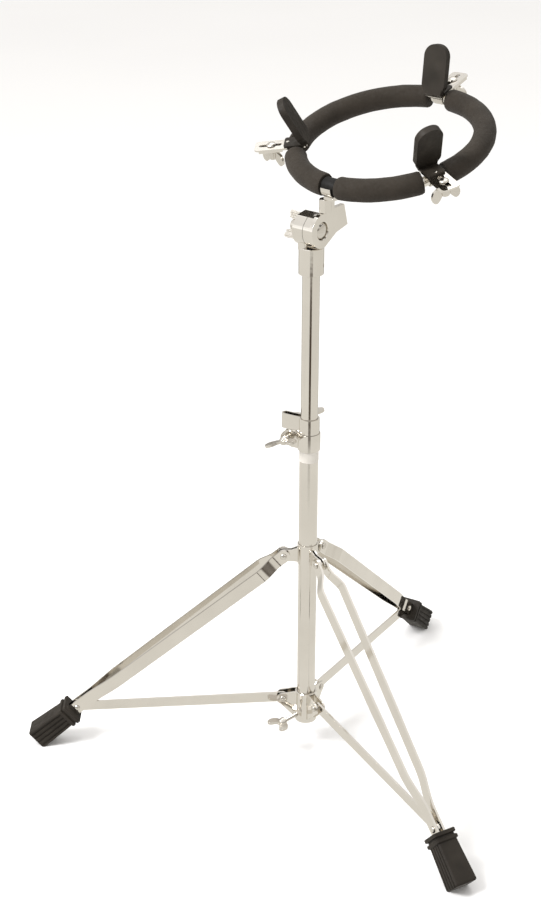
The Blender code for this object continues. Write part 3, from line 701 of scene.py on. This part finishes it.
def build_hub():
    """Sliding hub: a ring low on the tube with three pairs of ears, and its wing bolt."""
    low, high = HUB_Z
    bore = LOWER_TUBE_R + GAP
    ring = turned([(HUB_R, low), (HUB_R, high - 2.0), (bore + 0.4, high - 1.6), (bore, high - 2.0),
                   (bore, low)])
    r, z = HUB_PIVOT
    outline = [(13.0, 47.0), (17.0, 48.5), (24.0, 55.5), (36.0, z - 7.8)]
    outline += arc((r, z), 8.5, -58.0, 80.0, 21)
    outline += [(26.0, z + 9.6), (18.0, 87.5), (13.0, 88.0)]
    ears = []
    for heading in LEG_HEADINGS.values():
        for y_span in ((4.6, 7.1), (-7.1, -4.6)):
            ears.append((ear(outline, (r, z), y_span), mast_frame(heading)))
    bolt_place = mast_frame(HUB_BOLT_HEADING, HUB_BOLT_Z) @ turn(90.0, "Y")
    ears.append((rod(6.5, 14.0, 21.0, 6), bolt_place))
    bolt_hole = rod(3.3, 8.0, 30.0, 32)
    stand_in("brace_hub", ring, MAST, joins=ears, cuts=[(bolt_hole, bolt_place)], edge=0.4)
    wing_bolt("hub_wing_bolt", bolt_place @ turn(90.0, "Z"), radius=3.0, tip=13.1, boss=44.0,
              half_width=16.0, height=18.0)


def build_braces():
    """Three flat stays from the hub's rivets to the rivets in the legs."""
    half = BRACE_WIDTH / 2
    outline = arc((0.0, 0.0), half, 90.0, 270.0, 24)
    outline += arc((BRACE_REACH, 0.0), half - 0.4, -90.0, 90.0, 24)
    holes = [circle((0.0, 0.0), RIVET_HOLE, 24), circle((BRACE_REACH, 0.0), RIVET_HOLE, 24)]
    r, z = HUB_PIVOT
    for name, heading in LEG_HEADINGS.items():
        pivot = mast_frame(heading) @ shift(r, 0.0, z)
        plate = moved(slab(outline, BRACE_THICK, holes), UPRIGHT)
        stand_in("brace_" + name, plate, pivot @ turn(BRACE_SLOPE, "Y"), edge=0.45)
        rivet("hub_rivet_" + name, pivot, inner_face=7.4, spacer=(1.8, 4.3))


# ---------------------------------------------------------------- mast

def build_height_clamp():
    """Split ring on top of the lower tube, drawn shut by a wing bolt through its two ears."""
    bore = UPPER_TUBE_R + 0.4
    slot_half = 1.6
    ear_half = 4.6
    outer_angle = math.degrees(math.asin((ear_half + 1.2) / CLAMP_R))
    bore_angle = math.degrees(math.asin(slot_half / bore))
    outline = arc((0.0, 0.0), CLAMP_R, outer_angle, 360.0 - outer_angle, 84)
    outline += [(17.0, -ear_half), (LUG_REACH, -ear_half), (LUG_REACH, -slot_half)]
    outline += arc((0.0, 0.0), bore, 360.0 - bore_angle, bore_angle, 84)
    outline += [(LUG_REACH, slot_half), (LUG_REACH, ear_half), (17.0, ear_half)]
    low, high = CLAMP_Z
    height = high - low
    place = mast_frame(CLAMP_HEADING, (low + high) / 2)
    counterbore = rod(LOWER_TUBE_R + GAP, low - 10.0, LOWER_TUBE_Z[1] + GAP, 96)
    bolt_place = place @ shift(CLAMP_BOLT_R, 0.0, 0.0) @ turn(-90.0, "X")
    waste = [(LUG_REACH + 20.0, -height), (LUG_REACH + 20.0, height), (18.0, height), (18.0, height / 2),
             (LUG_REACH - 9.0, height / 2), (LUG_REACH - 0.6, 2.0), (LUG_REACH - 2.0, -7.0),
             (22.0, -height / 2 - 0.2), (22.0, -height)]
    trim = moved(slab(rounded(waste, 5.0, 5), 30.0), UPRIGHT)
    cuts = [(counterbore, MAST), (rod(3.3, -12.0, 12.0, 32), bolt_place), (trim, place)]
    stand_in("height_clamp", slab(outline, height), place, cuts=cuts, edge=0.45)
    wing_bolt("height_wing_bolt", bolt_place @ turn(18.0, "Z"), radius=3.0, tip=-8.0, boss=12.0,
              half_width=23.0, height=18.0, hole=True)


def build_memory_lock():
    """Ring clamped on the upper tube, with a hollow lug, resting on the height clamp."""
    bore = UPPER_TUBE_R + 0.4
    outer_half = 5.6
    inner_half = 3.6
    lug_end = LUG_REACH - outer_half
    outer_angle = math.degrees(math.asin((outer_half + 1.0) / LOCK_R))
    inner_angle = math.degrees(math.asin(inner_half / bore))
    outline = arc((0.0, 0.0), LOCK_R, outer_angle, 360.0 - outer_angle, 72)
    outline.append((16.5, -outer_half))
    outline += arc((lug_end, 0.0), outer_half, -90.0, 90.0, 24)
    outline.append((16.5, outer_half))
    hole = arc((0.0, 0.0), bore, inner_angle, 360.0 - inner_angle, 72)
    hole += arc((lug_end, 0.0), inner_half, -90.0, 90.0, 24)
    low, high = LOCK_Z
    middle = (low + high) / 2
    screw_place = mast_frame(LOCK_SCREW_HEADING, middle + 3.0) @ turn(90.0, "Y")
    stand_in("memory_lock", slab(outline, high - low, [hole]), mast_frame(LOCK_HEADING, middle),
             cuts=[(rod(2.6, 6.0, 20.0, 24), screw_place)], edge=0.4)
    wing_bolt("memory_wing_screw", screw_place @ turn(80.0, "Z"), radius=2.3, tip=12.0, boss=21.0,
              half_width=24.0, height=16.0, hole=True)


def build_upper_tube():
    """Inner tube of the mast, with the nylon plug that guides its lower end."""
    tube = turned(soft_profile(UPPER_TUBE_R, UPPER_TUBE_BORE, *UPPER_TUBE_Z, TUBE_EDGE))
    stand_in("upper_tube", tube, MAST, edge=0.0)
    low = UPPER_TUBE_Z[0]
    spigot = UPPER_TUBE_BORE - GAP
    profile = [(0.0, low - 9.0), (UPPER_TUBE_R - 1.0, low - 9.0), (UPPER_TUBE_R, low - 8.0),
               (UPPER_TUBE_R, low - GAP), (spigot, low - GAP), (spigot, low + 13.0),
               (spigot - 1.0, low + 14.0), (0.0, low + 14.0)]
    stand_in("mast_end_plug", turned(profile), MAST, edge=0.0)


# ---------------------------------------------------------------- tilter

def build_tilter_base():
    """One casting: the sleeve over the upper tube and the left half of the tilter's drum."""
    place = tilter_frame()
    low, high = (z - TILT_Z for z in SLEEVE_Z)
    sleeve = turned([(0.0, low), (SLEEVE_R - 0.5, low), (SLEEVE_R, low + 0.5), (SLEEVE_R, high - 0.8),
                     (SLEEVE_R - 0.8, high), (0.0, high)])
    neck_outline = rounded([(-12.6, -14.6), (0.8, -14.6), (0.8, 14.6), (-12.6, 14.6)], 5.0, 6)
    neck = slab(neck_outline, -high - 3.0)
    joins = [sleeve, moved(neck, shift(0.0, 0.0, (high - 9.0) / 2))]
    screw_place = mast_frame(-12.0, 721.0) @ turn(90.0, "Y")
    cuts = [rod(UPPER_TUBE_R + GAP, low - 5.0, UPPER_TUBE_Z[1] - TILT_Z + GAP, 96),
            moved(rod(4.5, -20.0, 5.0, 32), ALONG_Q), (rod(2.6, 8.0, 20.0, 24), screw_place)]
    stand_in("tilter_base", drum_slice(-15.0, 1.0), place, joins=joins, cuts=cuts, edge=0.6, segments=3)
    socket = rod(1.2, 13.4, 16.0, 6)
    screw = rod(2.3, UPPER_TUBE_R + GAP, 14.6, 24)
    stand_in("set_screw", screw, screw_place, cuts=[socket], edge=0.15)


def drum_slice(start, end):
    """Length of the tilter's drum along its axis, its top and its upper front flattened."""
    flats = ((98.0, 19.4), (136.0, 20.2))
    outline = []
    for angle in range(0, 360, 3):
        reach = DRUM_R
        for normal, distance in flats:
            facing = math.cos(math.radians(angle - normal))
            if facing > 0.5:
                reach = min(reach, distance / facing)
        around = math.radians(angle)
        outline.append((reach * math.cos(around), reach * math.sin(around)))
    return moved(slab(outline, end - start), shift((start + end) / 2, 0.0, 0.0) @ TO_PLATE)


def build_tilter_arm():
    """Right half of the drum with the plate that reaches out and up to the hoop, and the tilter's bolt."""
    place = tilter_frame()
    outline = arc((0.0, 0.0), DRUM_R + 0.8, 90.0, 285.0, 60)
    outline += [(29.0, -8.5), (53.0, -3.5), (45.0, 25.0), (24.0, 25.0), (24.0, 42.6), (17.0, 42.6),
                (17.0, DRUM_R + 0.8)]
    plate = moved(slab(outline, 6.0), shift(14.5, 0.0, 0.0) @ TO_PLATE)
    dish = moved(turned([(0.0, 12.7), (10.6, 12.7), (11.4, 13.6), (11.4, 16.6), (12.8, 18.0), (12.8, 20.0),
                         (0.0, 20.0)]), ALONG_Q)
    cuts = [dish, moved(rod(4.5, -2.0, 20.0), ALONG_Q)]
    stand_in("tilter_arm", plate, place, joins=[drum_slice(1.3, 12.5)], cuts=cuts, edge=0.8, segments=3)
    head = [(0.0, -27.0), (4.0, -27.0), (4.0, 13.0), (10.4, 13.0), (10.8, 13.5), (10.5, 14.6), (9.6, 15.7),
            (8.0, 16.8), (5.6, 17.7), (2.8, 18.3), (0.0, 18.5)]
    stand_in("tilter_bolt", moved(turned(head, 48), ALONG_Q), place, edge=0.0)
    nut_place = place @ shift(-15.4, 0.0, 0.0) @ turn(-90.0, "Y") @ turn(24.5, "Z")
    wing_nut("tilter_wing_nut", nut_place, bore=4.4, depth=12.0, half_width=17.0, height=20.0,
             thick=6.0, ribs=(9.0, 12.0, 15.0))


def build_saddle():
    """Post on the arm and the half-pipe seat that the hoop's rod is held in."""
    post = [(0.0, 22.6), (7.1, 22.6), (7.6, 23.1), (7.6, 39.4), (7.0, 40.0), (0.0, 40.0)]
    stand_in("saddle_post", turned(post, 64), tilter_frame() @ shift(14.8, 7.5, 0.0), edge=0.0)
    outline = arc((0.0, 0.0), 13.5, 180.0, 360.0, 42) + arc((0.0, 0.0), 11.5, 360.0, 180.0, 42)
    place = hoop_frame(SADDLE_ANGLE) @ shift(HOOP_R, 0.0, 0.0) @ turn(-HOOP_SLOPE, "Y")
    stand_in("hoop_saddle", moved(slab(outline, 15.0), UPRIGHT), place,
             joins=[block((-6.0, 6.5), (-7.3, 7.3), (-16.6, -12.4))], edge=0.5, segments=3)
    rings = [hoop_ring(263.3 + 8.4 * i / 8, 11.0, 48) for i in range(9)]
    inner = [hoop_ring(263.3 + 8.4 * i / 8, CORE_R + GAP, 48) for i in range(9)]
    # The liner's near-black look is partly its own black colour and partly painted shade of the gap between
    # the foam ends.
    stand_in("saddle_liner", skinned(rings + inner[::-1], loop=True), hoop_frame(), edge=0.0, look="liner")


# ---------------------------------------------------------------- hoop and claws

def foam_sleeve(node, start, end):
    """A length of foam sleeve round the hoop: softly uneven, rolled in a little at both cut ends."""
    steps = int((end - start) / 1.25)
    outer = []
    inner = []
    for i in range(steps + 1):
        angle = start + (end - start) * i / steps
        from_end = min(angle - start, end - angle) * math.radians(HOOP_R)
        tuck = 1.1 * math.exp(-from_end / 0.9)
        outer.append(hoop_ring(angle, FOAM_R - 0.1 - tuck, 48, 0.35))
        inner.append(hoop_ring(angle, CORE_R + 0.4, 48))
    first = hoop_ring(start, FOAM_R - 2.6, 48)
    last = hoop_ring(end, FOAM_R - 2.6, 48)
    obj = stand_in(node, skinned([first] + outer + [last] + inner[::-1], loop=True), hoop_frame(), edge=0.0)


def build_hoop():
    """Bent rod with four lengths of foam sleeve; the gaps are for the saddle and the claws."""
    rings = [hoop_ring(angle * 2.5, CORE_R, 40) for angle in range(144)]
    stand_in("hoop_core", skinned(rings, loop=True), hoop_frame(), edge=0.0)
    for key, (start, end) in FOAM_SPANS.items():
        foam_sleeve("foam_sleeve_" + key, start, end)


def paddle_outline(neck, half_width, length, drop=0.0):
    """Paddle seen square on: a neck that clears the foam, then a wider blade with a rounded top."""
    corner = half_width - 1.2
    right = [(neck, -drop), (neck, 6.5), (neck + 0.4, 8.5), (half_width - 0.6, 13.0), (half_width, 15.5)]
    right += arc((half_width - corner, length - corner), corner, 0.0, 86.0, 18)
    left = [(-x, y) for x, y in reversed(right)]
    return right + left


def paddle_frame():
    """In a claw's frame: X across the blade, Y up it, leaning away from the hoop's centre."""
    return shift(CLAW_BEND, 0.0, CLAW_FOOT_N[0] + 1.0) @ turn(CLAW_LEAN, "Y") @ TO_PLATE


def claw_skirts():
    """Turned-down edges along both sides of a claw's foot."""
    low = CLAW_FOOT_N[0]
    skirts = []
    for y_span in ((-12.0, -10.4), (10.4, 12.0)):
        skirts.append(block((137.0, CLAW_TIP - 6.0), y_span, (low - 2.8, low + 0.5)))
    return skirts


def claw_foot():
    """Slotted foot plate of a claw."""
    low, high = CLAW_FOOT_N
    foot = rounded([(CLAW_BEND, -12.0), (CLAW_TIP, -12.0), (CLAW_TIP, 12.0), (CLAW_BEND, 12.0)], 6.0, 6)
    start, end = CLAW_SLOT
    slot = arc((start + 3.0, 0.0), 3.0, 90.0, 270.0, 16) + arc((end - 3.0, 0.0), 3.0, -90.0, 90.0, 16)
    return moved(slab(foot, high - low, [slot]), shift(0.0, 0.0, (low + high) / 2))


def claw_clip_mesh():
    """Band round the hoop's rod with its flange running out under the claw's foot."""
    band = 8.2
    lip = 5.0
    start = math.degrees(math.asin(lip / band))
    outline = arc((0.0, 0.0), band, 90.0, 360.0 + start, 42)
    outline += [(46.8, lip), (46.8, band)]
    bm = slab(outline, 14.0, [circle((-0.23, 0.0), CORE_R + 0.55, 48)])
    return moved(bm, shift(HOOP_R, 0.0, 0.0) @ UPRIGHT)


def build_claw(name, angle):
    """One claw: bracket, rubber cover, clip, bolt and wing nut."""
    place = hoop_frame(angle)
    low, high = CLAW_FOOT_N
    blade = paddle_frame()
    metal = paddle_outline(neck=12.0, half_width=15.5, length=PADDLE_LENGTH)
    metal_blade = moved(slab(metal, 2.0), blade)
    stand_in("claw_bracket_" + name, claw_foot(), place, joins=[metal_blade, *claw_skirts()], edge=0.5)

    rubber = paddle_outline(neck=13.0, half_width=17.2, length=PADDLE_LENGTH + 2.0, drop=-3.0)
    skin = moved(slab(rubber, 9.0), blade)
    flap = [(CLAW_BEND + 1.0, -12.0), (135.0, -12.0), (135.0, 12.0), (CLAW_BEND + 1.0, 12.0)]
    apron = moved(slab(rounded(flap, 3.5, 5), 2.3), shift(0.0, 0.0, high + GAP + 1.15))
    hollow = paddle_outline(neck=12.0 + GAP, half_width=15.5 + GAP, length=PADDLE_LENGTH + GAP, drop=8.0)
    pocket = moved(slab(hollow, 2.6), blade)
    cuts = [pocket, block((80.0, 190.0), (-20.0, 20.0), (low - 12.0, high + GAP))]
    stand_in("claw_cover_" + name, skin, place, joins=[apron], cuts=cuts, edge=2.2, segments=4)
    dome = [(0.0, high + 2.7), (2.3, high + 2.7), (2.2, high + 3.2), (1.2, high + 3.7), (0.0, high + 3.8)]
    stud = turned(dome, 24)
    obj = piece("claw_stud_" + name, stud, place @ shift(130.5, 0.0, 0.0), BODY_OF["claw_cover_" + name],
                "plated_steel")

    bolt_place = place @ shift(CLAW_BOLT_RHO, 0.0, 0.0)
    stand_in("claw_clip_" + name, claw_clip_mesh(), place, cuts=[(rod(2.9, -5.0, 20.0, 32), bolt_place)],
             edge=0.35)
    profile = thread_profile(2.5, -6.0, high + GAP - 0.1)
    profile += [(6.0, high + GAP), (6.2, high + 0.7), (5.8, high + 1.6), (4.6, high + 2.6), (2.4, high + 3.4),
                (0.0, high + 3.6)]
    stand_in("claw_bolt_" + name, turned(profile, 40), bolt_place, edge=0.0)
    nut_place = bolt_place @ shift(0.0, 0.0, 4.7) @ turn(180.0, "X") @ turn(CLAW_NUT_TURNS[name], "Z")
    wing_nut("claw_wing_nut_" + name, nut_place, bore=2.9, depth=11.0, half_width=19.0, height=19.0)


# ---------------------------------------------------------------- stage

CAMERA_SPOT = (-51.06, -2116.8, 1443.0)
CAMERA_PITCH = 65.0
CAMERA_ROLL = 0.14
CAMERA_LENS = 69.63
FLOOR_RADIUS_M = 30.0
FLOOR_DROP_M = 0.0004
DARK_GAP = (0.075, 0.055, 0.04)
SWEEP_LEFT = (0.86, 0.835, 0.775)
SWEEP_RIGHT = (0.80, 0.775, 0.715)
DUSK = (0.40, 0.385, 0.35)
ROOM_DARK = (0.10, 0.082, 0.066)
ROOM_GREY = (0.42, 0.40, 0.37)
ROOM_WARM = (0.70, 0.665, 0.61)
SOFT_BOX = (1.35, 1.33, 1.30)
CEILING = (0.92, 0.90, 0.87)


def build_camera():
    """Viewpoint in front of the stand, looking 25 degrees down."""
    data = bpy.data.cameras.new("camera")
    data.lens = CAMERA_LENS
    data.sensor_width = 36.0
    data.clip_end = 100.0
    camera = bpy.data.objects.new("camera", data)
    camera.matrix_world = MAST @ shift(*CAMERA_SPOT) @ turn(CAMERA_PITCH, "X") @ turn(CAMERA_ROLL, "Z")
    bpy.context.scene.collection.objects.link(camera)
    bpy.context.scene.camera = camera


def build_floor():
    """Wide pale floor that also fills the background."""
    bm = bmesh.new()
    bmesh.ops.create_circle(bm, cap_ends=True, segments=64, radius=FLOOR_RADIUS_M)
    mesh = bpy.data.meshes.new("floor")
    bm.to_mesh(mesh)
    bm.free()
    floor = bpy.data.objects.new("floor", mesh)
    floor.location = (0.0, 0.0, -FLOOR_DROP_M)
    made, tree, shader = node_material("look_floor")
    tone = add_range(tree, add_noise(tree, 0.8, 2.0), 0.0, 1.0)
    tree.links.new(add_colours(tree, tone, (0.92, 0.92, 0.925), (0.90, 0.90, 0.905)),
                   shader.inputs["Base Color"])
    shader.inputs["Roughness"].default_value = 0.9
    shader.inputs["Specular IOR Level"].default_value = 0.1
    mesh.materials.append(made)
    bpy.context.scene.collection.objects.link(floor)
    floor.visible_glossy = False


def colour_ramp(tree, source, stops):
    """Colour by position along a row of (position, colour) stops."""
    node = tree.nodes.new("ShaderNodeValToRGB")
    elements = node.color_ramp.elements
    elements[0].position, elements[0].color = stops[0][0], (*stops[0][1], 1.0)
    elements[1].position, elements[1].color = stops[-1][0], (*stops[-1][1], 1.0)
    for position, colour in stops[1:-1]:
        elements.new(position).color = (*colour, 1.0)
    tree.links.new(source, node.inputs["Fac"])
    return node.outputs["Color"]


def mix_colours(tree, factor, first, second):
    """Mix of two colour outputs, by the factor."""
    node = tree.nodes.new("ShaderNodeMix")
    node.data_type = "RGBA"
    tree.links.new(factor, node.inputs["Factor"])
    tree.links.new(first, node.inputs["A"])
    tree.links.new(second, node.inputs["B"])
    return node.outputs["Result"]


def build_world():
    """Studio that the chrome reflects: pale sweep below, dark room at eye level, soft boxes above.

    Straight behind the camera the pale sweep has a small dark gap, which upright tubes show as a stripe.
    """
    world = bpy.data.worlds.new("studio")
    world.use_nodes = True
    bpy.context.scene.world = world
    tree = world.node_tree
    coords = tree.nodes.new("ShaderNodeTexCoord")
    split = tree.nodes.new("ShaderNodeSeparateXYZ")
    tree.links.new(coords.outputs["Generated"], split.inputs["Vector"])
    heading = tree.nodes.new("ShaderNodeMath")
    heading.operation = "ARCTAN2"
    tree.links.new(split.outputs["X"], heading.inputs[0])
    tree.links.new(split.outputs["Y"], heading.inputs[1])
    around = add_range(tree, heading.outputs["Value"], 0.0, 1.0, -math.pi, math.pi)
    up = add_range(tree, split.outputs["Z"], 0.0, 1.0, -1.0, 1.0)
    sweep = colour_ramp(tree, around, [
        (0.0, DARK_GAP), (0.030, DARK_GAP), (0.040, SWEEP_LEFT), (0.36, SWEEP_LEFT), (0.45, DUSK),
        (0.55, DUSK), (0.64, SWEEP_RIGHT), (0.955, SWEEP_RIGHT), (0.965, DARK_GAP), (1.0, DARK_GAP)])
    room = colour_ramp(tree, around, [
        (0.0, ROOM_DARK), (0.12, ROOM_DARK), (0.20, SOFT_BOX), (0.34, SOFT_BOX), (0.42, ROOM_GREY),
        (0.62, ROOM_GREY), (0.70, ROOM_WARM), (0.82, ROOM_WARM), (0.90, ROOM_DARK), (1.0, ROOM_DARK)])
    above = colour_ramp(tree, up, [
        (0.0, CEILING), (0.50, ROOM_DARK), (0.575, ROOM_DARK), (0.62, CEILING), (0.86, CEILING),
        (1.0, SOFT_BOX)])
    near_horizon = add_range(tree, split.outputs["Z"], 0.0, 1.0, 0.12, 0.55)
    upper = mix_colours(tree, near_horizon, room, above)
    floor_colour = colour_ramp(tree, up, [(0.0, SWEEP_LEFT), (1.0, SWEEP_LEFT)])
    gap_edge = add_range(tree, split.outputs["Z"], 0.0, 1.0, -0.424, -0.414)
    plain_sweep = colour_ramp(tree, around, [
        (0.0, SWEEP_LEFT), (0.36, SWEEP_LEFT), (0.45, DUSK), (0.55, DUSK), (0.64, SWEEP_RIGHT),
        (1.0, SWEEP_RIGHT)])
    gap_top = add_range(tree, split.outputs["Z"], 0.0, 1.0, -0.335, -0.315)
    lower = mix_colours(tree, gap_top, mix_colours(tree, gap_edge, floor_colour, sweep), plain_sweep)
    horizon = add_range(tree, split.outputs["Z"], 0.0, 1.0, -0.02, 0.02)
    background = tree.nodes["Background"]
    tree.links.new(mix_colours(tree, horizon, lower, upper), background.inputs["Color"])
    background.inputs["Strength"].default_value = 1.0


def area_light(name, size, power, spot, target):
    """Rectangular soft light at a spot, facing a target; metres and watts."""
    data = bpy.data.lights.new(name, "AREA")
    data.shape = "RECTANGLE"
    data.size, data.size_y = size
    data.energy = power
    light = bpy.data.objects.new(name, data)
    light.location = spot
    light.rotation_euler = (Vector(target) - Vector(spot)).to_track_quat("-Z", "Y").to_euler()
    bpy.context.scene.collection.objects.link(light)


def build_lights():
    """Key light high on the left, and a broad fill from above."""
    area_light("key", (0.9, 0.9), 74.0, (-1.6, -1.0, 2.4), (0.0, 0.0, 0.4))
    area_light("top", (2.4, 2.4), 16.0, (0.2, 1.2, 3.2), (0.0, 0.6, 0.0))


# ---------------------------------------------------------------- everything

bpy.context.scene.view_settings.view_transform = "Standard"
build_camera()
build_world()
build_floor()
build_lights()
build_lower_tube()
build_leg_collar()
build_legs()
build_hub()
build_braces()
build_height_clamp()
build_memory_lock()
build_upper_tube()
build_tilter_base()
build_tilter_arm()
build_saddle()
build_hoop()
for claw_name, claw_angle in CLAW_ANGLES.items():
    build_claw(claw_name, claw_angle)

bpy.context.view_layer.update()
